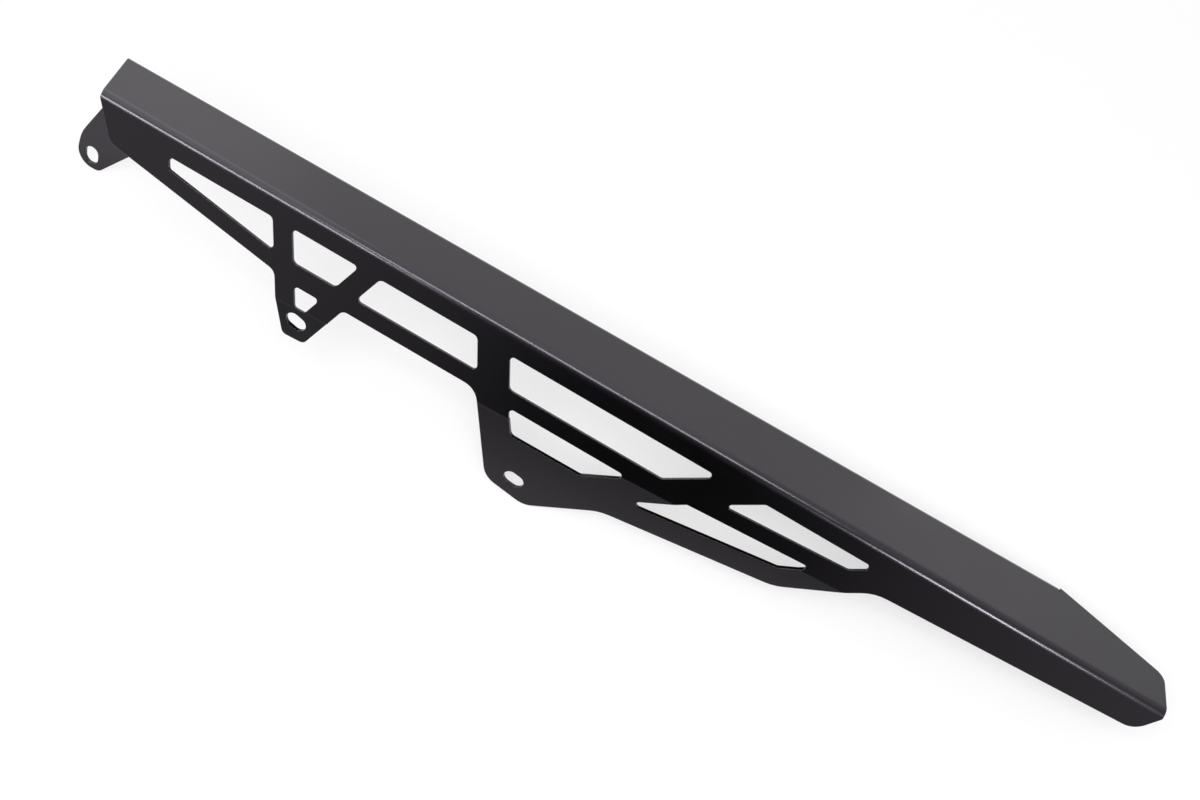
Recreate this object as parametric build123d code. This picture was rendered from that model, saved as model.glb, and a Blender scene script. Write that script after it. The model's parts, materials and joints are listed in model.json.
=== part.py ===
import os
from math import acos, atan, cos, degrees, radians, sin, tan

from build123d import *

# Sheet and bends, in millimetres and degrees
sheet = 2.0
bend_r = 3.0
flare = 20.0
skew = 1.0

# Front fold, seen from the centre of the front slot on its seat
fold_x = 17.0
fold_z = 56.5
fold_l = 492.4

# Swing arm between the seat of the front tab and the seats of the outer tabs
arm_w = 44.0

# Drop of the knee below the start of the fold, along the leaning plate
knee_drop = 43.57

# Bars of the outer plate: drops below the fold, slopes and widths
top_bar = 9.45
window_low = 22.3
mid_bar = 6.8
strut_a = 77.4
strut_turn = 63.0
strut_w = 8.0
brace_turn = 68.0
brace_w = 9.2
post_w = 13.4
diagonal_turn = 32.4
diagonal_w = 11.3
rim_w = 10.0

# Windows: lengths along the fold, and widths along their slanted ends
arm_window_w = 5.25
upper_v_low = 21.9
crossing_w = 8.3
lower_v_h = 8.1
middle_window_l = 45.3
long_window_l = 71.55
post_window_low = 40.85
tail_window_l = 52.15
tail_window_w = 11.75
tail_bar_turn = 3.35
sill_window_w = 14.8
sill_turn = 8.65

# Front arm of the plate
nose_a = -2.95
nose_turn = 53.5
arm_drop = 15.45
arm_turn = 8.3
arm_bar = 6.5

# Tabs below the knee
tab_drop = 15.4
tab_w = 10.0
toe_drop = 67.4
toe_w = 20.5
toe_turn = 9.8

# Tail of the plate
end_over = 2.4
end_drop = 13.2
end_turn = 55.3
tail_turn = 2.65

# Rounded corners
corner_r = 1.5
tip_r = 1.1
sill_tip_r = 1.7
blunt_r = 2.8
nose_r = 6.0
throat_r = 5.0
tab_r = 3.0
post_r = 9.5
toe_r = 10.0
sweep_r = 20.0

# Top flange
flange_a = -1.4
flange_turn = 14.3
tail_w = 21.1
taper_turn = 20.2
taper_r = 6.0
slit_w = 0.5

# Back flange and the front tab that hangs from it
tongue_l = 8.0
back_drop = 15.0
ear_left = -6.85
ear_shoulder = 8.4
ear_low = -6.4
ear_foot = 4.7
ear_turn = 52.0
ear_r = 8.0
foot_r = 4.0

# Slots for the screws: the outer two are placed from the front corners of their tabs
slot_w = 6.5
slot_l = 9.4
front_slot_l = 8.4
front_slot_turn = 98.6
middle_slot_x = 3.96
middle_slot_z = 8.79
middle_slot_turn = -14.9
rear_slot_x = 11.39
rear_slot_z = 6.37
rear_slot_turn = -8.7

# Reach of the cutting shapes past the faces of the sheet
spare = 1.0


def ray(a, drop, turn):
    """A straight line of the flat plate: a point on it and its heading."""
    return (a, -drop, radians(turn))


def beside(line, gap):
    """The parallel line a gap away, on the left of the heading."""
    a, v, turn = line
    return (a - gap * sin(turn), v + gap * cos(turn), turn)


def through(corner, turn):
    """The line of that heading through a corner."""
    return (corner[0], corner[1], radians(turn))


def along(corner, line, run):
    """The point a run further than a corner, on the heading of a line."""
    return (corner[0] + run * cos(line[2]), corner[1] + run * sin(line[2]))


def meet(first, second):
    """The corner where two lines cross."""
    a1, v1, t1 = first
    a2, v2, t2 = second
    run = ((a2 - a1) * sin(t2) - (v2 - v1) * cos(t2)) / sin(t2 - t1)
    return (a1 + run * cos(t1), v1 + run * sin(t1))


def rounded(*corners):
    """A closed outline with its own radius at each corner."""
    outline = make_face(Polyline(*[point for point, radius in corners], close=True))
    for point, radius in corners:
        if radius > 0:
            corner = outline.vertices().sort_by_distance(Vector(*point))[0]
            outline = fillet(corner, radius)
    return outline


def region(*points):
    """A closed outline with sharp corners."""
    return make_face(Polyline(*points, close=True))


# Outer plate: it leans out from the front fold
outer_r = bend_r + sheet
lean = radians(flare)
yaw = radians(skew)
fold_y = knee_drop * sin(lean) * cos(yaw) - arm_w - sheet
out_face = Vector(-cos(lean) * sin(yaw), -cos(lean) * cos(yaw), sin(lean))
plate = Plane(origin=(fold_x, fold_y, fold_z), x_dir=(cos(yaw), -sin(yaw), 0), z_dir=out_face)

# Knee: the line where the plate turns upright again, square to the screws
surplus = toe_drop
knee = ray(0, knee_drop, degrees(atan(tan(yaw) / sin(lean))))
knee_front = meet(knee, ray(-surplus, 0, 90))
knee_rear = meet(knee, ray(fold_l + surplus, 0, 90))
knee_start = plate.from_local_coords(knee_front)
knee_axis = Axis(knee_start, plate.from_local_coords(knee_rear) - knee_start)
knee_bend = degrees(acos(cos(lean) * cos(yaw)))

# Uncut sheet with its three bends
fold_front = plate.from_local_coords((-surplus, 0))
fold_rear = plate.from_local_coords((fold_l + surplus, 0))
deep = toe_drop + surplus
flange_blank = extrude(
    Plane.XY.offset(fold_z) * region(
        (fold_front.X, fold_front.Y),
        (fold_rear.X, fold_rear.Y),
        (fold_rear.X, sheet),
        (fold_front.X, sheet),
    ),
    amount=-sheet,
)
plate_blank = extrude(
    plate * region((-surplus, 0), knee_front, knee_rear, (fold_l + surplus, 0)),
    amount=-sheet,
)
knee_blank = extrude(
    plate * region(knee_front, (-surplus, -deep), (fold_l + surplus, -deep), knee_rear),
    amount=-sheet,
).rotate(knee_axis, knee_bend)
back_blank = extrude(
    Plane.XY.offset(fold_z) * region(
        (fold_front.X, 0),
        (fold_rear.X, 0),
        (fold_rear.X, sheet),
        (fold_front.X, sheet),
    ),
    amount=-deep,
)
blank = flange_blank + plate_blank + knee_blank + back_blank
middle = fold_x + fold_l / 2
blank &= Pos(middle, 0, 0) * Box(fold_l + surplus, 2 * deep, 2 * deep)

# Bends rounded on the outside, then on the inside
fold_middle = plate.from_local_coords((fold_l / 2, 0))
knee_middle = plate.from_local_coords(meet(knee, ray(fold_l / 2, 0, 90)))
back_middle = Vector(middle, sheet, fold_z)
outside = [fold_middle, knee_middle, back_middle]
blank = fillet([blank.edges().sort_by_distance(point)[0] for point in outside], outer_r)
inside = [
    fold_middle + Vector(0, sheet, -sheet),
    knee_middle + Vector(0, sheet, 0),
    back_middle - Vector(0, sheet, sheet),
]
blank = fillet([blank.edges().sort_by_distance(point)[0] for point in inside], bend_r)

# Lines of the flat plate that its edges and windows share, from the front to the rear
fold = ray(0, 0, 0)
top = ray(0, top_bar, 0)
low = ray(0, window_low, 0)
bar_low = beside(low, -mid_bar)
nose = ray(nose_a, 0, -nose_turn)
arm_edge = ray(0, arm_drop, -arm_turn)
arm_bar_top = beside(arm_edge, arm_bar)
arm_window_low = ray(0, top_bar + arm_window_w * sin(radians(strut_turn)), 0)
arm_window_end = through(meet(arm_window_low, arm_bar_top), -strut_turn)
strut_left = ray(strut_a, 0, -strut_turn)
strut_right = beside(strut_left, strut_w)
tab_low = beside(knee, -tab_drop)
tab_corner = meet(strut_left, tab_low)
brace_right = through(along(tab_corner, tab_low, tab_w), brace_turn)
brace_left = beside(brace_right, brace_w)
post_left = through(along(meet(top, brace_right), top, middle_window_l), -strut_turn)
post_right = beside(post_left, post_w)
toe_corner = meet(post_left, ray(0, toe_drop, 0))
toe = through(toe_corner, -toe_turn)
heel = through(along(toe_corner, toe, toe_w), diagonal_turn)
diagonal_left = through(along(meet(low, post_right), low, long_window_l), diagonal_turn)
diagonal_right = beside(diagonal_left, -diagonal_w)
rim_inner = through(along(meet(top, diagonal_right), top, tail_window_l), diagonal_turn)
rim = beside(rim_inner, -rim_w)
tail_bar = through(along(meet(top, rim_inner), rim_inner, -tail_window_w), tail_bar_turn)
tail_bar_low = beside(tail_bar, -mid_bar)
sill_top = through(along(meet(rim_inner, tail_bar_low), rim_inner, -sill_window_w), sill_turn)
sill = beside(sill_top, -rim_w)
end = ray(fold_l + end_over, 0, end_turn)
tail = through(meet(ray(0, end_drop, 0), end), tail_turn)
plate_end = ray(fold_l, 0, 90)

# Outline of the plate with its tabs, laid flat
outline = rounded(
    (meet(fold, nose), 0),
    (meet(nose, arm_edge), nose_r),
    (meet(arm_edge, strut_left), throat_r),
    (meet(strut_left, tab_low), tab_r),
    (meet(tab_low, brace_right), tab_r),
    (meet(brace_right, bar_low), tab_r),
    (meet(bar_low, post_left), post_r),
    (meet(post_left, toe), toe_r),
    (meet(toe, heel), toe_r),
    (meet(heel, sill), sweep_r),
    (meet(sill, rim), sweep_r),
    (meet(rim, tail), sweep_r),
    (meet(tail, end), toe_r),
    (meet(end, plate_end), corner_r),
    ((fold_l, 0), 0),
)

# Windows that lie wholly in the leaning plate
arm_window = rounded(
    (meet(top, arm_window_end), corner_r),
    (meet(arm_window_end, arm_bar_top), corner_r),
    (meet(arm_bar_top, strut_left), corner_r),
    (meet(strut_left, top), blunt_r),
)
upper_v_bottom = ray(0, upper_v_low, 0)
upper_v_window = rounded(
    (meet(top, strut_right), corner_r),
    (meet(strut_right, upper_v_bottom), blunt_r),
    (meet(upper_v_bottom, brace_left), blunt_r),
    (meet(brace_left, top), corner_r),
)
lower_v_head = beside(upper_v_bottom, -crossing_w)
lower_v_bottom = beside(lower_v_head, -lower_v_h)
lower_v_window = rounded(
    (meet(lower_v_head, strut_right), corner_r),
    (meet(strut_right, lower_v_bottom), corner_r),
    (meet(lower_v_bottom, brace_left), corner_r),
    (meet(brace_left, lower_v_head), corner_r),
)
middle_window = rounded(
    (meet(top, brace_right), blunt_r),
    (meet(brace_right, low), corner_r),
    (meet(low, post_left), corner_r),
    (meet(post_left, top), blunt_r),
)
long_window = rounded(
    (meet(top, post_right), corner_r),
    (meet(post_right, low), blunt_r),
    (meet(low, diagonal_left), blunt_r),
    (meet(diagonal_left, top), corner_r),
)
tail_window = rounded(
    (meet(top, diagonal_right), blunt_r),
    (meet(diagonal_right, tail_bar), tip_r),
    (meet(tail_bar, rim_inner), blunt_r),
    (meet(rim_inner, top), corner_r),
)

# Window that runs over the knee
post_window_bottom = ray(0, post_window_low, 0)
post_window = rounded(
    (meet(bar_low, post_right), corner_r),
    (meet(post_right, post_window_bottom), blunt_r),
    (meet(post_window_bottom, diagonal_left), blunt_r),
    (meet(diagonal_left, bar_low), corner_r),
)

# Window along the sill, whose head lies on the knee
sill_window = rounded(
    (meet(tail_bar_low, diagonal_right), blunt_r),
    (meet(diagonal_right, sill_top), sill_tip_r),
    (meet(sill_top, rim_inner), blunt_r),
    (meet(rim_inner, tail_bar_low), tip_r),
)

# Cutting shapes: square to the plate above the knee, square to the seats below it
above_knee = region(knee_front, knee_rear, (fold_l + surplus, surplus), (-surplus, surplus))
below_knee = region(knee_front, (-surplus, -deep), (fold_l + surplus, -deep), knee_rear)
reach = sheet + bend_r + 2 * spare


def above(shape):
    """The shape driven through the leaning plate."""
    return extrude(plate.offset(spare) * shape, amount=-reach)


def below(shape):
    """The shape driven through the upright part under the knee."""
    return above(shape).rotate(knee_axis, knee_bend)


plate_keep = above(outline & above_knee) + below(outline & below_knee)
windows = above(arm_window + upper_v_window + lower_v_window + middle_window)
windows += above(long_window + tail_window)
windows += above(post_window & above_knee) + below(post_window & below_knee)
windows += below(sill_window)

# Front end of the channel, cut upright along one slanted line
past_back = sheet + spare
start_point = plate.from_local_coords((flange_a, 0))
slant = tan(radians(flange_turn))
slant_front = start_point.X + (deep + start_point.Y) * slant
slant_back = start_point.X - (past_back - start_point.Y) * slant
front_end = extrude(
    Plane.XY.offset(-deep) * region(
        (slant_front, -deep),
        (fold_rear.X, -deep),
        (fold_rear.X, past_back),
        (slant_back, past_back),
    ),
    amount=2 * deep,
)

# Top flange with a taper behind the end of the back flange
end_point = plate.from_local_coords((fold_l, 0))
bend_start = sheet - outer_r
tail_y = end_point.Y + tail_w
taper_run = (bend_start - tail_y) / tan(radians(taper_turn))
back_end = end_point.X - taper_run - tongue_l
flange_outline = rounded(
    ((fold_front.X, fold_front.Y), 0),
    ((end_point.X, end_point.Y), 0),
    ((end_point.X, tail_y), taper_r),
    ((end_point.X - taper_run, bend_start), 0),
    ((back_end, bend_start), 0),
    ((back_end, past_back), 0),
    ((fold_front.X, past_back), 0),
)
flange_keep = extrude(Plane.XY.offset(fold_z + spare) * flange_outline, amount=-sheet - 2 * spare)

# Flat tongue of the taper beside the end of the back bend
tongue_left = back_end + slit_w
tongue_y = tail_y + (end_point.X - tongue_left) * tan(radians(taper_turn))
tongue = extrude(
    Plane.XY.offset(fold_z) * region(
        (tongue_left, bend_start - outer_r),
        (end_point.X - taper_run, bend_start - outer_r),
        (end_point.X - taper_run, bend_start),
        (tongue_left, tongue_y),
    ),
    amount=-sheet,
)

# Back flange and the front tab, which flares forward out of its end
back_low = fold_z - back_drop
back_left = start_point.X - (sheet - start_point.Y) * slant
ear_slope = (back_left - ear_left) / (back_low - ear_shoulder)
ear_back = ear_foot + (back_low - ear_low) / tan(radians(ear_turn))
back_outline = rounded(
    ((back_left + back_drop * ear_slope, fold_z), 0),
    ((ear_left, ear_shoulder), sweep_r),
    ((ear_left, ear_low), ear_r),
    ((ear_foot, ear_low), foot_r),
    ((ear_back, back_low), sweep_r),
    ((back_end, back_low), corner_r),
    ((back_end, fold_z), 0),
)
back_strip = region(
    (fold_front.X, back_low),
    (ear_back, back_low),
    (ear_back, fold_z),
    (fold_front.X, fold_z),
)
back_face = Plane(origin=(0, past_back, 0), x_dir=(1, 0, 0), z_dir=(0, -1, 0))
back_keep = extrude(back_face * back_outline, amount=sheet + 2 * spare)
strip_keep = extrude(back_face * back_strip, amount=sheet + 2 * spare)


def folded(corner):
    """Where a corner of the flat plate lies once the knee is bent."""
    return knee_start + (plate.from_local_coords(corner) - knee_start).rotate(knee_axis, knee_bend)


# Slots, cut square through the three seats
tab_point = folded(tab_corner)
toe_point = folded(toe_corner)
middle_place = Pos(tab_point.X + middle_slot_x, tab_point.Z + middle_slot_z)
rear_place = Pos(toe_point.X + rear_slot_x, toe_point.Z + rear_slot_z)
front_slot = Rot(0, 0, front_slot_turn) * SlotOverall(front_slot_l, slot_w)
middle_slot = middle_place * Rot(0, 0, middle_slot_turn) * SlotOverall(slot_l, slot_w)
rear_slot = rear_place * Rot(0, 0, rear_slot_turn) * SlotOverall(slot_l, slot_w)
outer_seat = back_face.offset(arm_w + spare)
slots = extrude(back_face * front_slot, amount=sheet + 2 * spare)
slots += extrude(outer_seat * (middle_slot + rear_slot), amount=sheet + 2 * spare)

# Guard: the sheet inside its outlines, with windows and slots cut out
channel_keep = (plate_keep + flange_keep + strip_keep) & front_end
guard = blank & (channel_keep + back_keep)
guard = guard + tongue - windows - slots

os.makedirs("parts", exist_ok=True)
export_step(guard, "parts/chain_guard.step")
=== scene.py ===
# %% [markdown]
# # A motorcycle chain guard in black powder coat
# The guard is one strip of aluminium sheet. It is cut flat with its windows, folded lengthwise
# into a shallow channel over the chain, and coated black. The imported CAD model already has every
# fold, window and slot in its place, so this lesson loads it, gives it the softened edges and the
# skin of a real coated sheet, and lights it as a small studio does.

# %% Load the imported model
import json
import math
import bpy
from mathutils import Matrix, Vector

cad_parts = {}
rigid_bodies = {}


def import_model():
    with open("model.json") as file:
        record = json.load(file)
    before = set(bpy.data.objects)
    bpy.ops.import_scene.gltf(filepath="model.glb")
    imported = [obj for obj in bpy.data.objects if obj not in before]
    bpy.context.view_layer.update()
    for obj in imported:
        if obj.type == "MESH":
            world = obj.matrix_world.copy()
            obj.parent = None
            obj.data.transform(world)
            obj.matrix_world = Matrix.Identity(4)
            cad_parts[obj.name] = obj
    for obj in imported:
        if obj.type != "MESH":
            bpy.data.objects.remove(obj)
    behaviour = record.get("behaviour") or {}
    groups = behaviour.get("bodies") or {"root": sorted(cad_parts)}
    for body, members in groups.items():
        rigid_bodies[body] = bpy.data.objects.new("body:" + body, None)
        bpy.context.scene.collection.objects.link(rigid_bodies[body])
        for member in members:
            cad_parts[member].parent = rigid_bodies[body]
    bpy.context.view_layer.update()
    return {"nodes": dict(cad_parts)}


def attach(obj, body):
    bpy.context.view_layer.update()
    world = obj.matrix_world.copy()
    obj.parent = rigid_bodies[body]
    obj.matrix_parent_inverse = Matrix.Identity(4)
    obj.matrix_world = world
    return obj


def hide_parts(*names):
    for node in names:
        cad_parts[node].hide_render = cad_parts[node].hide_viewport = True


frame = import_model()
scene = bpy.context.scene
scene.view_settings.view_transform = "Standard"

# %% [markdown]
# ## The coated sheet
# A laser or a punch leaves a crisp edge on sheet metal. Powder melts and flows over that edge in
# the oven, so a coated edge is a small round that catches a thin line of light along every
# window. The CAD solid has sharp edges, because its sizes are those of the bare sheet. The round
# could be added to the solid, edge by edge, but it belongs to the coat, and one Bevel modifier
# rounds all edges at once. It works on a copy of the CAD mesh, because a CAD node is never
# changed.

# %% Copy the CAD solid
solid = frame["nodes"]["chain_guard"]
bpy.ops.object.select_all(action="DESELECT")
solid.select_set(True)
bpy.context.view_layer.objects.active = solid
bpy.ops.object.duplicate()
guard = bpy.context.view_layer.objects.active
guard.name = "coated_guard"
guard.data.name = "coated_guard"
bpy.ops.object.parent_clear(type="CLEAR_KEEP_TRANSFORM")
print("copied", guard.name, "with", len(guard.data.polygons), "triangles")

# %% [markdown]
# A CAD mesh comes as loose triangles, and a bevel finds no edge between two triangles that don't
# share one. So corners at the same place are merged first. Then flat neighbours are joined into
# large faces. The edges that are left are those that a finger would feel, and the fine facets of
# the folds. The shading that came with the mesh is dropped, because the rounds need a new one.

# %% Merge it into one skin with large flat faces
MM = 0.001  # the scene is in metres
SAME_PLACE = 0.002 * MM
SAME_PLANE = math.radians(0.3)

bpy.ops.object.mode_set(mode="EDIT")
bpy.ops.mesh.select_all(action="SELECT")
bpy.ops.mesh.remove_doubles(threshold=SAME_PLACE)
bpy.ops.mesh.customdata_custom_splitnormals_clear()
bpy.ops.mesh.dissolve_limited(angle_limit=SAME_PLANE)
bpy.ops.object.mode_set(mode="OBJECT")
print("one skin of", len(guard.data.vertices), "corners and", len(guard.data.polygons), "faces")

# %% [markdown]
# The end of the tail has a step of a tenth of a millimetre, where the cut of the flange meets the
# cut of the fold. Powder fills such a step, and a bevel would fold over itself in it. So the
# corners at both ends of the step are merged before the bevel.


# %% Close the step in the tail's end
def merge_corners(piece, chosen, reach):
    bpy.ops.object.mode_set(mode="EDIT")
    bpy.ops.mesh.select_mode(type="VERT")
    bpy.ops.mesh.select_all(action="DESELECT")
    bpy.ops.object.mode_set(mode="OBJECT")
    for i in chosen:
        piece.data.vertices[i].select = True
    before = len(piece.data.vertices)
    bpy.ops.object.mode_set(mode="EDIT")
    bpy.ops.mesh.remove_doubles(threshold=reach)
    bpy.ops.object.mode_set(mode="OBJECT")
    print(before - len(piece.data.vertices), "of", len(chosen), "chosen corners are merged away")


STEP_ENDS = (
    Vector((509.37, -34.20, 54.50)) * MM,
    Vector((509.34, -38.35, 56.01)) * MM,
)
AROUND_STEP = 0.1 * MM
STEP_SIZE = 0.12 * MM

step = [
    corner.index for corner in guard.data.vertices
    if any((corner.co - end).length < AROUND_STEP for end in STEP_ENDS)
]
merge_corners(guard, step, STEP_SIZE)

# %% [markdown]
# The edges to round are the sharp ones around the sheet, the windows and the slots. The modifier
# could find them by their angle. But at one window tip, where the cut crosses the fold, the cut
# wall has two steps of a tenth of a millimetre. They are thinner than the round, and a bevel
# can't fit in there. So the sharp edges are selected here, the steps are left out, and the choice
# is kept as the edges' bevel weight.

# %% Choose the edges to round
SHARP = math.radians(50)
TIP_LOW = Vector((272.95, -45.72, 27.05)) * MM
TIP_HIGH = Vector((273.30, -44.03, 28.25)) * MM

bpy.ops.object.mode_set(mode="EDIT")
bpy.ops.mesh.select_mode(type="EDGE")
bpy.ops.mesh.select_all(action="DESELECT")
bpy.ops.mesh.edges_select_sharp(sharpness=SHARP)
bpy.ops.object.mode_set(mode="OBJECT")
rims = guard.data.attributes.new("bevel_weight_edge", "FLOAT", "EDGE")
for edge in guard.data.edges:
    ends = [guard.data.vertices[i].co for i in edge.vertices]
    centre = (ends[0] + ends[1]) / 2
    stepped = all(low < c < high for low, c, high in zip(TIP_LOW, centre, TIP_HIGH))
    rims.data[edge.index].value = float(edge.select and not stepped)
print("edges to round:", sum(int(rim.value) for rim in rims.data))

# %% [markdown]
# The coat is about a tenth of a millimetre thick and rounds an edge by two or three times that.
# Three segments bend the light smoothly over so small a round. The modifier's own clamp would
# narrow all rounds to what fits the shortest edge, so it is off.

# %% Round the edges as melted powder does
ROUND_WIDTH = 0.26 * MM
ROUND_SEGMENTS = 3

coat_round = guard.modifiers.new("coat_round", "BEVEL")
coat_round.width = ROUND_WIDTH
coat_round.segments = ROUND_SEGMENTS
coat_round.limit_method = "WEIGHT"
coat_round.use_clamp_overlap = False
bpy.ops.object.modifier_apply(modifier="coat_round")
print("rounded skin of", len(guard.data.polygons), "faces")

# %% [markdown]
# Where a rim's corners are closer together than the round is wide, the bevel leaves thin slivers
# that lie turned over in their face. They would show as hair lines in the gloss. By hand they
# would be found by zooming in along every rim. In code, such a sliver is a triangle that looks
# against its own face, short on one side and long on another. Its two nearest corners are merged,
# and the search runs again, because one merge can uncover the next sliver.


# %% Close the turned slivers
def turned_slivers(mesh, width, length):
    mesh.calc_loop_triangles()
    found = set()
    for triangle in mesh.loop_triangles:
        corners = [mesh.vertices[i].co for i in triangle.vertices]
        facing = (corners[1] - corners[0]).cross(corners[2] - corners[0])
        turned = facing.dot(mesh.polygons[triangle.polygon_index].normal) < 0
        sides = sorted(((corners[i] - corners[i - 1]).length, i) for i in range(3))
        short, i = sides[0]
        long = sides[2][0]
        if turned and short < width and long > length:
            found.update((triangle.vertices[i], triangle.vertices[i - 1]))
    return found


SLIVER_WIDTH = 0.12 * MM
SLIVER_LENGTH = 1.5 * MM
SEARCHES = 3

for search in range(1, SEARCHES + 1):
    slivers = turned_slivers(guard.data, SLIVER_WIDTH, SLIVER_LENGTH)
    print("search", search, "finds", len(slivers), "corners of turned slivers")
    merge_corners(guard, slivers, SLIVER_WIDTH)

# %% [markdown]
# The sheet is flat between its folds, and only the folds and the rounds turn the light. Smooth
# shading alone would bend the light on the flats too, because it blends the directions of all the
# faces at a corner. A Weighted Normal modifier lets the largest face win, so a flat stays flat up
# to its rim.

# %% Shade the skin
SMOOTH_UP_TO = math.radians(40)
LARGE_FACES_WIN = 90  # 50 weighs by area alone, 100 follows the largest face only

bpy.ops.object.shade_smooth_by_angle(angle=SMOOTH_UP_TO)
flat_first = guard.modifiers.new("flat_first", "WEIGHTED_NORMAL")
flat_first.weight = LARGE_FACES_WIN
flat_first.keep_sharp = True
bpy.ops.object.modifier_apply(modifier="flat_first")
print("shaded", len(guard.data.polygons), "faces")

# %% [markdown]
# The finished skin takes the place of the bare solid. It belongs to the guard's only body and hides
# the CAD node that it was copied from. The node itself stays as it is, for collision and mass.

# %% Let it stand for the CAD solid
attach(guard, "root")
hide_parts("chain_guard")
print(guard.name, "stands for", solid.name)

# %% [markdown]
# ## Three small helpers for materials
# Colours are picked as sRGB hex values, because that is what a screen shows and a painter reads
# off a chart, while the shader works in linear light. One function turns one into the other. A
# second one starts an empty material. A third one adds a node with its settings and its links, so
# that a material reads as a list of what it has.


# %% Helpers for colours and nodes
def linear(code):
    # the curve and its numbers are those of the sRGB standard
    channels = [int(code[i:i + 2], 16) / 255 for i in (1, 3, 5)]
    light = [c / 12.92 if c <= 0.04045 else ((c + 0.055) / 1.055) ** 2.4 for c in channels]
    return (*light, 1.0)


def start_material(name):
    material = bpy.data.materials.new(name)
    material.use_nodes = True
    material.node_tree.nodes.clear()
    return material, material.node_tree


def add_node(tree, kind, links=None, values=None, **settings):
    node = tree.nodes.new(kind)
    for name, value in settings.items():
        setattr(node, name, value)
    for socket, value in (values or {}).items():
        node.inputs[socket].default_value = value
    for socket, source in (links or {}).items():
        tree.links.new(source, node.inputs[socket])
    return node


print("mid grey #808080 in linear light:", [round(c, 3) for c in linear("#808080")])

# %% [markdown]
# ## Black powder coat
# The finish is a polyester powder, sprayed on dry and baked to a black satin skin. It isn't a
# mirror: the melted powder sets with a fine orange peel, which breaks a reflection into a soft
# grey glow and a little grain. A picture of a coat could be wrapped around the guard, but it
# would stretch or break over the folds. Noise in the guard's own space runs through them. Two
# noises follow the coat: the peel, about 0.9 mm from crest to crest, and slow drifts of the baked
# gloss, some 25 mm across.

# %% Draw the orange peel and the drift of the gloss
PEEL_WAVE = 0.9 * MM
DRIFT_WAVE = 25 * MM

# Baked black powder: deep black by itself, with soft grey reflections that look a little grainy.
coat, tree = start_material("black_satin_powder_coat")
place = add_node(tree, "ShaderNodeTexCoord").outputs["Object"]
peel = add_node(
    tree, "ShaderNodeTexNoise", {"Vector": place},
    {"Scale": 1 / PEEL_WAVE, "Detail": 2.0, "Roughness": 0.6},
).outputs["Fac"]
drift = add_node(
    tree, "ShaderNodeTexNoise", {"Vector": place},
    {"Scale": 1 / DRIFT_WAVE, "Detail": 3.0, "Roughness": 0.5},
).outputs["Fac"]
print("waves to the metre:", round(1 / PEEL_WAVE), "of peel and", round(1 / DRIFT_WAVE), "of gloss")

# %% [markdown]
# The colour is almost black, so nearly all of what the eye sees is the room in the gloss. A dark
# Principled shader gives that, with a plastic's IOR and a fairly low roughness. Its reflections
# are a touch cool, which is a specular tint. The peel goes to a faint bump and shifts the black
# by a shade, and the drift goes to the roughness.

# %% Mix the coat
COAT_BLACKS = ("#040404", "#060506")
NOISE_RANGE = (0.3, 0.7)  # nearly all of a noise lies between these
PEEL_HEIGHT = 0.03 * MM

gloss = add_node(
    tree, "ShaderNodeMapRange", {"Value": drift},
    {"From Min": NOISE_RANGE[0], "From Max": NOISE_RANGE[1], "To Min": 0.20, "To Max": 0.24},
)
grain = add_node(
    tree, "ShaderNodeBump", {"Height": peel}, {"Strength": 0.04, "Distance": PEEL_HEIGHT},
)
black = add_node(tree, "ShaderNodeValToRGB", {"Fac": peel})
for stop, position, code in zip(black.color_ramp.elements, NOISE_RANGE, COAT_BLACKS):
    stop.position = position
    stop.color = linear(code)
skin = add_node(
    tree, "ShaderNodeBsdfPrincipled",
    {
        "Base Color": black.outputs["Color"],
        "Roughness": gloss.outputs["Result"],
        "Normal": grain.outputs["Normal"],
    },
    {"Metallic": 0.0, "IOR": 1.41, "Specular Tint": linear("#f9f0ff")},
)
add_node(tree, "ShaderNodeOutputMaterial", {"Surface": skin.outputs["BSDF"]})
guard.data.materials.clear()
guard.data.materials.append(coat)
print(coat.name, "has", len(tree.nodes), "nodes")

# %% [markdown]
# ## The white table
# In the studio the guard lies loose on a white table, on three points: the lower end of its front
# ear, the long toe in the middle of its lower edge, and the rear end of its back flange. The CAD
# frame is the guard as fitted on the machine, so in this frame the table is a tilted plane. It
# could be turned by eye until nothing floats. Here it is found as a hand would find it: let the
# plane rise until it touches, then turn it until it touches in all three places.

# %% Find the three points that the guard lies on
EAR_BEFORE = 30 * MM
TOE_BETWEEN = (200 * MM, 260 * MM)
HEEL_AFTER = 430 * MM
TURNS = 4

corners = [corner.co.copy() for corner in guard.data.vertices]
ear = [c for c in corners if c.x < EAR_BEFORE]
toe = [c for c in corners if TOE_BETWEEN[0] < c.x < TOE_BETWEEN[1]]
heel = [c for c in corners if c.x > HEEL_AFTER]
up = Vector((0.0, -0.5, 0.86))  # a first guess
for turn in range(TURNS):
    low = [min(zone, key=up.dot) for zone in (ear, toe, heel)]
    up = (low[1] - low[0]).cross(low[2] - low[0]).normalized()
print("it lies on", [tuple(round(c / MM, 1) for c in point) for point in low])
print("table's up:", tuple(round(c, 4) for c in up))

# %% [markdown]
# The table is a large plane with axes of its own: one along the guard, one away from the camera
# and one up. What else lies on the table is placed along the same axes.

# %% Lay the table under it
TABLE_SIZE = 6.0  # metres, so that its rim is out of sight

away = up.cross(Vector((1.0, 0.0, 0.0))).normalized()
across = away.cross(up).normalized()
studio = Matrix((across, away, up)).transposed().to_4x4()
studio.translation = sum(low, Vector()) / 3
bpy.ops.mesh.primitive_plane_add(size=TABLE_SIZE)
table = bpy.context.object
table.name = "white_table"
table.matrix_world = studio
print("table leans", round(math.degrees(math.acos(up.z)), 1), "degrees from the CAD frame's level")

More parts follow.
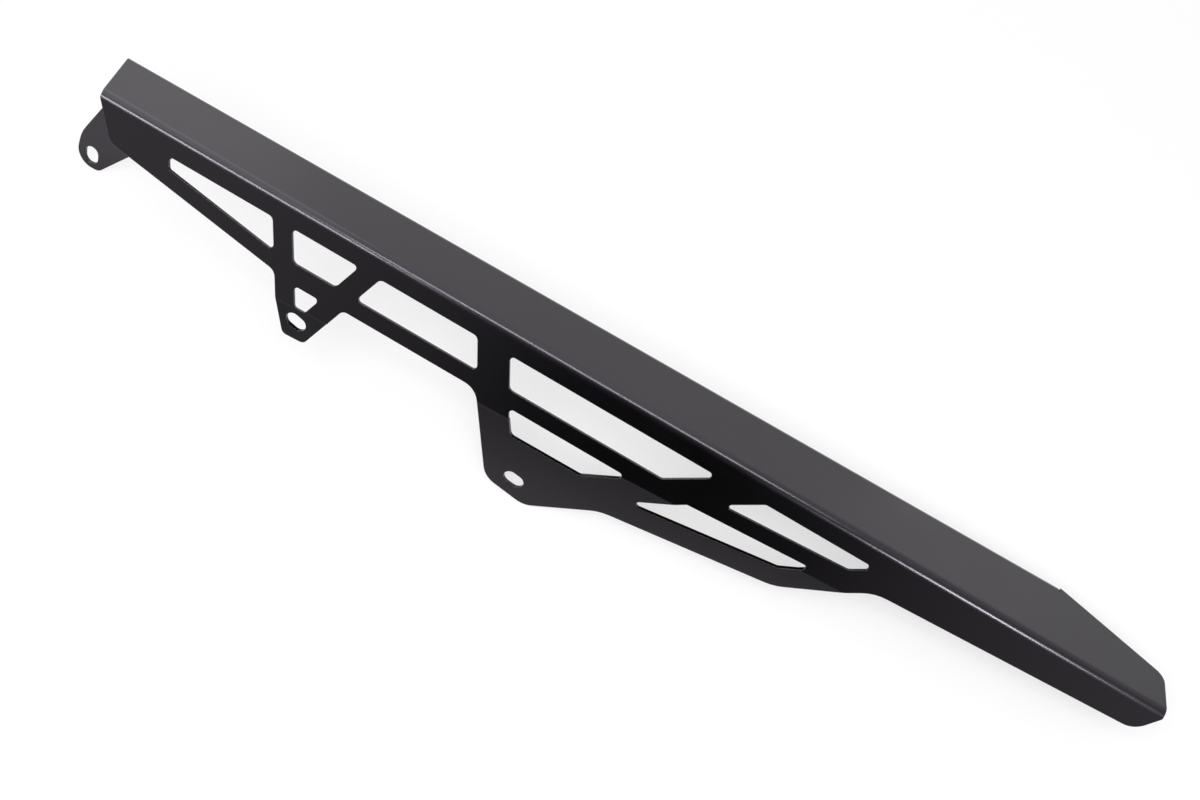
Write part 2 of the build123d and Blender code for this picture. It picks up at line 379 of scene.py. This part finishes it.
# %% [markdown]
# The table is matt white paint. To make it white on the screen by lamps alone would take more
# light than the guard should get. So to the camera, and in what the coat mirrors, a share of the
# paint glows with a strength of 1, which is white on the screen. The rest is plain paint that
# takes the guard's soft shadow. The shadow is deepest under the tail, and with the distance from
# there more and more of the paint glows. From below the table is clear, so that the guard can be
# looked at from any side.


# %% Tell what is looked at from what is only lit
def looked_at(tree):
    ray = add_node(tree, "ShaderNodeLightPath").outputs
    seen = add_node(
        tree, "ShaderNodeMath",
        {0: ray["Is Camera Ray"], 1: ray["Is Glossy Ray"]}, operation="MAXIMUM",
    )
    seen_through = add_node(
        tree, "ShaderNodeMath",
        {0: seen.outputs[0], 1: ray["Is Transmission Ray"]}, operation="MAXIMUM",
    )
    return seen_through.outputs[0]


# Matt white paint: an even white with no gloss, and a soft grey shadow under the guard.
paint, tree = start_material("matt_white_table_paint")
seen = looked_at(tree)
print(paint.name, "starts with", len(tree.nodes), "nodes")

# %% Let the paint glow around the shadow
UNDER_TAIL = (0.22, 0.0, 0.0)  # metres on the table
SHADOW_REACH = (0.08, 0.70)  # metres from there

place = add_node(tree, "ShaderNodeTexCoord").outputs["Object"]
distance = add_node(
    tree, "ShaderNodeVectorMath", {0: place}, {1: UNDER_TAIL}, operation="DISTANCE",
)
share = add_node(
    tree, "ShaderNodeMapRange", {"Value": distance.outputs["Value"]},
    {"From Min": SHADOW_REACH[0], "From Max": SHADOW_REACH[1], "To Min": 0.58, "To Max": 1.0},
)
glowing = add_node(
    tree, "ShaderNodeMath", {0: seen, 1: share.outputs["Result"]}, operation="MULTIPLY",
).outputs[0]
print("all of the paint glows from", SHADOW_REACH[1], "m around the tail")

# %% Paint the table
matt = add_node(tree, "ShaderNodeBsdfDiffuse", values={"Color": linear("#fafafa")})
glow = add_node(tree, "ShaderNodeEmission", values={"Color": linear("#ffffff"), "Strength": 1.0})
top = add_node(
    tree, "ShaderNodeMixShader",
    {0: glowing, 1: matt.outputs["BSDF"], 2: glow.outputs["Emission"]},
)
clear = add_node(tree, "ShaderNodeBsdfTransparent")
below = add_node(tree, "ShaderNodeNewGeometry").outputs["Backfacing"]
both = add_node(
    tree, "ShaderNodeMixShader",
    {0: below, 1: top.outputs["Shader"], 2: clear.outputs["BSDF"]},
)
add_node(tree, "ShaderNodeOutputMaterial", {"Surface": both.outputs["Shader"]})
table.data.materials.append(paint)
print(paint.name, "has", len(tree.nodes), "nodes")

# %% [markdown]
# ## Studio light
# A black coat shows its surroundings more than its own colour, so the room is laid out for what
# each face mirrors. The room and one large front softbox give all the light that falls on the
# guard and the table. The other softboxes are only mirrored: they draw the bright line along the
# fold and the greys of the top flange. The leaning plate mirrors what stands behind the camera,
# where a studio is dark. A panorama of a real studio could do the same, but it would be one more
# file to load.

# %% White room
ROOM_LIGHT = 0.56  # of white, because the front softbox adds to it

room = bpy.data.worlds.new("white_room")
room.use_nodes = True
tree = room.node_tree
tree.nodes.clear()
level = add_node(
    tree, "ShaderNodeMapRange", {"Value": looked_at(tree)}, {"To Min": ROOM_LIGHT, "To Max": 1.0},
)
wall = add_node(
    tree, "ShaderNodeBackground", {"Strength": level.outputs["Result"]},
    {"Color": linear("#ffffff")},
)
add_node(tree, "ShaderNodeOutputWorld", {"Surface": wall.outputs["Background"]})
scene.world = room
print("the room looks white and lights with", ROOM_LIGHT)

# %% [markdown]
# Each softbox is a rectangle lamp, hung by its two ends and turned to face a point of the guard.
# How bright it looks in the coat depends on its power for each square metre: pi watts look as
# white as paper. So the power is worked out from its size and from how many times whiter than
# paper it is to look. The fold turns through the angles that mirror the ceiling, and narrow
# strips there draw one thin bright line along it. Three of them cover its length.


# %% Strip over the middle of the fold
def hang_softbox(name, left, right, aim, height, whiter, mirrored=True):
    left, right, aim = Vector(left), Vector(right), Vector(aim)
    width = (right - left).length
    along = (right - left).normalized()
    back = (left + right) / 2 - aim
    back = (back - back.dot(along) * along).normalized()
    turn = Matrix((along, back.cross(along), back)).transposed().to_4x4()
    data = bpy.data.lights.new(name, "AREA")
    data.shape = "RECTANGLE"
    data.size = width
    data.size_y = height
    data.energy = math.pi * width * height * whiter
    lamp = bpy.data.objects.new(name, data)
    scene.collection.objects.link(lamp)
    lamp.matrix_world = Matrix.Translation((left + right) / 2) @ turn
    lamp.visible_camera = False
    lamp.visible_diffuse = not mirrored
    lamp.visible_glossy = mirrored
    print(name, round(width, 2), "m wide gives", round(data.energy, 2), "W")


hang_softbox(
    "overhead_strip", left=(-0.04, -0.34, 0.75), right=(0.47, -0.27, 0.82),
    aim=(0.25, -0.04, 0.05), height=0.08, whiter=27.0,
)

# %% Strips for both ends of the fold
hang_softbox(
    "left_strip", left=(-0.50, -0.50, 0.55), right=(-0.02, -0.60, 0.65),
    aim=(0.05, -0.04, 0.05), height=0.11, whiter=33.0,
)
hang_softbox(
    "right_strip", left=(0.58, -0.62, 0.54), right=(0.715, -0.58, 0.475),
    aim=(0.42, -0.04, 0.05), height=0.10, whiter=60.0,
)

# %% [markdown]
# The top flange is flat and mirrors a wide field above and behind the guard. Large, weak panels
# there lay a grey on it that is lighter at the front end, fades along its length and has a sheen
# again near the tail.

# %% Panels over the guard
hang_softbox(
    "left_panel", left=(-0.75, 0.10, 0.80), right=(-0.08, 0.10, 0.95),
    aim=(0.05, -0.02, 0.05), height=1.10, whiter=2.6,
)
hang_softbox(
    "middle_panel", left=(-0.06, 0.12, 0.95), right=(0.42, 0.12, 0.95),
    aim=(0.25, -0.02, 0.05), height=0.80, whiter=1.4,
)
hang_softbox(
    "right_panel", left=(0.46, 0.20, 0.95), right=(1.00, 0.20, 0.90),
    aim=(0.45, -0.02, 0.05), height=0.80, whiter=0.6,
)

# %% Panels behind the guard
hang_softbox(
    "far_panel", left=(-0.60, 0.90, 0.90), right=(1.20, 0.90, 1.02),
    aim=(0.25, 0.0, 0.05), height=0.80, whiter=0.58,
)
hang_softbox(
    "far_left_panel", left=(-0.80, 0.80, 0.70), right=(-0.22, 0.90, 0.76),
    aim=(0.03, -0.02, 0.05), height=0.50, whiter=0.45,
)
hang_softbox(
    "far_right_panel", left=(0.62, 0.90, 0.58), right=(0.94, 0.90, 0.58),
    aim=(0.42, -0.01, 0.056), height=0.20, whiter=2.0,
)

# %% [markdown]
# A small white card is mirrored in the front ear, which would sink into black without it. The
# front softbox is the one that lights: it isn't mirrored, or it would show as a grey patch on the
# plate.

# %% Card for the front ear, and the front light
hang_softbox(
    "left_card", left=(-0.11, -0.06, -0.045), right=(0.02, -0.12, -0.080),
    aim=(0.0, 0.0, 0.01), height=0.06, whiter=1.0,
)
hang_softbox(
    "front_fill", left=(-0.55, -0.88, 0.66), right=(0.75, -0.88, 0.66),
    aim=(0.22, 0.0, 0.0), height=0.75, whiter=3.4, mirrored=False,
)

# %% [markdown]
# ## The dark side of the room
# The studio is dark behind the camera, darkest in the middle and less so toward both ends. That
# shade is painted as a black sheet hung there, and the leaning plate mirrors it as deep black,
# which makes it a painted reflection. Dimming the room there would darken the table too, so the
# sheet is met by mirrored rays only.


# %% Painted shade behind the camera
def show_to_mirrors_only(piece):
    for rays in ("visible_camera", "visible_diffuse", "visible_shadow", "visible_transmission"):
        setattr(piece, rays, False)


DARK_ROOM_PLACE = (0.32, -0.65, 0.35)
DARK_ROOM_SIZE = (1.6, 1.1, 1.0)  # times the metre of the new plane

# a black sheet of painted shade, seen only in reflections
bpy.ops.mesh.primitive_plane_add(size=1.0)
dark_room_sheet = bpy.context.object
dark_room_sheet.name = "mirrored_dark_room"
dark_room_sheet.matrix_world = Matrix.Translation(DARK_ROOM_PLACE) @ Matrix.Rotation(math.radians(90), 4, "X")
bpy.ops.object.mode_set(mode="EDIT")
bpy.ops.mesh.select_all(action="SELECT")
bpy.ops.transform.resize(value=DARK_ROOM_SIZE, orient_type="LOCAL")
bpy.ops.object.mode_set(mode="OBJECT")
show_to_mirrors_only(dark_room_sheet)
print("net spans", [round(c, 2) for c in dark_room_sheet.dimensions], "metres")

# %% [markdown]
# The painted shade is not one even black. The mix of black and clear is given as a share, which
# grows from the dark middle of the sheet to its clear ends.


# %% Fade the painted shade
def mix_painted_shade(tree, clear_share):
    # the black is painted shade, met only by mirrored rays
    shade_black = add_node(tree, "ShaderNodeBsdfDiffuse", values={"Color": linear("#020202")})
    see_through = add_node(tree, "ShaderNodeBsdfTransparent")
    dark_or_clear = add_node(
        tree, "ShaderNodeMixShader", {0: clear_share, 1: shade_black.outputs["BSDF"], 2: see_through.outputs["BSDF"]},
    )
    add_node(tree, "ShaderNodeOutputMaterial", {"Surface": dark_or_clear.outputs["Shader"]})


DARK_ROOM_FADES = (0.13, 0.54)  # metres from its middle, dark to clear
DARK_ROOM_FALL = 0.6  # below 1, so it clears quickly at first

# Painted shade of the dark room behind the camera, seen only in reflections: a dull black that lets
# some of the white room through.
dark_room_material, tree = start_material("painted_dark_room_reflection")
place = add_node(tree, "ShaderNodeTexCoord").outputs["Object"]
side = add_node(tree, "ShaderNodeSeparateXYZ", {"Vector": place}).outputs["X"]
apart = add_node(tree, "ShaderNodeMath", {0: side}, operation="ABSOLUTE")
opening = add_node(
    tree, "ShaderNodeMapRange", {"Value": apart.outputs[0]},
    {"From Min": DARK_ROOM_FADES[0], "From Max": DARK_ROOM_FADES[1], "To Min": 0.0, "To Max": 1.0},
)
clear_share = add_node(
    tree, "ShaderNodeMath", {0: opening.outputs["Result"]}, {1: DARK_ROOM_FALL}, operation="POWER",
)
mix_painted_shade(tree, clear_share.outputs[0])
dark_room_sheet.data.materials.append(dark_room_material)
print(dark_room_material.name, "has", len(tree.nodes), "nodes")

# %% [markdown]
# The table in front of the guard, toward the camera and out of the picture, lies in shade. That
# shade is painted as a black sheet on the table. The sheet thins out toward the guard and is met by
# mirrored rays only. The lower band of the plate stands upright and mirrors that part of the table,
# so the painted shade makes the band darken upward.

# %% Painted shade on the table
TABLE_SHADE_SIZE = 1.0
TABLE_SHADE_PLACE = (0.0, -0.57, 0.002)  # metres on the table

# a black sheet of painted shade, seen only in reflections
bpy.ops.mesh.primitive_plane_add(size=TABLE_SHADE_SIZE)
table_shade_sheet = bpy.context.object
table_shade_sheet.name = "mirrored_table_shade"
table_shade_sheet.matrix_world = studio @ Matrix.Translation(TABLE_SHADE_PLACE)
show_to_mirrors_only(table_shade_sheet)
print("cloth spans", [round(c, 2) for c in table_shade_sheet.dimensions], "metres")

# %% Fade the painted shade on the table
TABLE_SHADE_FADES = (0.27, 0.50)  # metres from its middle toward the guard

# Painted shade on the table, seen only in reflections: dull black that fades into the white of the
# table.
table_shade_material, tree = start_material("painted_table_shade_reflection")
place = add_node(tree, "ShaderNodeTexCoord").outputs["Object"]
toward = add_node(tree, "ShaderNodeSeparateXYZ", {"Vector": place}).outputs["Y"]
clear_share = add_node(
    tree, "ShaderNodeMapRange", {"Value": toward},
    {"From Min": TABLE_SHADE_FADES[0], "From Max": TABLE_SHADE_FADES[1], "To Min": 0.32, "To Max": 1.0},
)
mix_painted_shade(tree, clear_share.outputs["Result"])
table_shade_sheet.data.materials.append(table_shade_material)
print(table_shade_material.name, "has", len(tree.nodes), "nodes")

# %% [markdown]
# ## Camera
# The camera looks down at the guard from the front and is rolled, so that the guard runs from the
# upper left to the lower right of the picture. It could be set by eye in the viewport. Here its
# place, its turns and its lens were found by laying the CAD edges over the photograph.

# %% Camera
SENSOR_WIDTH = 36.0  # mm
FOCAL_LENGTH, PICTURE_WIDTH = 1295, 1200  # both in pixels
CAMERA_PLACE = (0.24284, -0.45019, 0.36644)
HEADING, LOOK_DOWN, ROLL = -1.0, 37.43, 30.27  # degrees

camera_data = bpy.data.cameras.new("camera")
camera_data.sensor_fit = "HORIZONTAL"
camera_data.sensor_width = SENSOR_WIDTH
camera_data.lens = SENSOR_WIDTH * FOCAL_LENGTH / PICTURE_WIDTH
camera = bpy.data.objects.new("camera", camera_data)
scene.collection.objects.link(camera)
camera.matrix_world = (
    Matrix.Translation(CAMERA_PLACE)
    @ Matrix.Rotation(math.radians(HEADING), 4, "Z")
    @ Matrix.Rotation(math.radians(90 - LOOK_DOWN), 4, "X")
    @ Matrix.Rotation(math.radians(ROLL), 4, "Z")
)
scene.camera = camera
print("lens of", round(camera_data.lens, 2), "mm")
